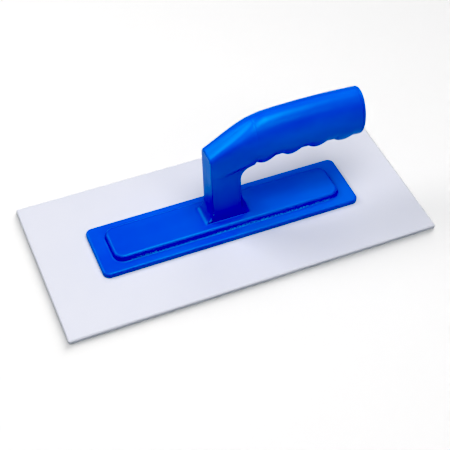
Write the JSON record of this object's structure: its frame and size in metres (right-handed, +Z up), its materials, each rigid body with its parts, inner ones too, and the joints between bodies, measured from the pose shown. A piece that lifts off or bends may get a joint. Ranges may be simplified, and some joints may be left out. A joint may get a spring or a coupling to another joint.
{
  "type": "finishing trowel",
  "caption": "Rectangular finishing trowel: a flat rigid plastic blade under a moulded handle whose neck rises to a backward-pointing oval grip with finger ridges.",
  "frame": {"origin": "centre of the blade's flat underside, the working face", "axes": "+X along the blade towards the free end of the grip, +Z up from the working face through the grip, +Y across the blade; the tool is symmetric about the XZ plane"},
  "size_m": [0.28, 0.13, 0.0966],
  "materials": {
    "blade": "fine matt, off-white",
    "handle": "satin moulded, bright blue",
    "grip_end_cap": "satin moulded, bright blue",
    "screw": "zinc plated"
  },
  "bodies": {
    "root": {"blade": "blade", "handle": "handle", "grip_end_cap": "grip_end_cap", "screw_1": "screw", "screw_2": "screw", "screw_3": "screw", "screw_4": "screw", "screw_5": "screw", "screw_6": "screw", "screw_7": "screw", "screw_8": "screw"}
  },
  "joints": []
}
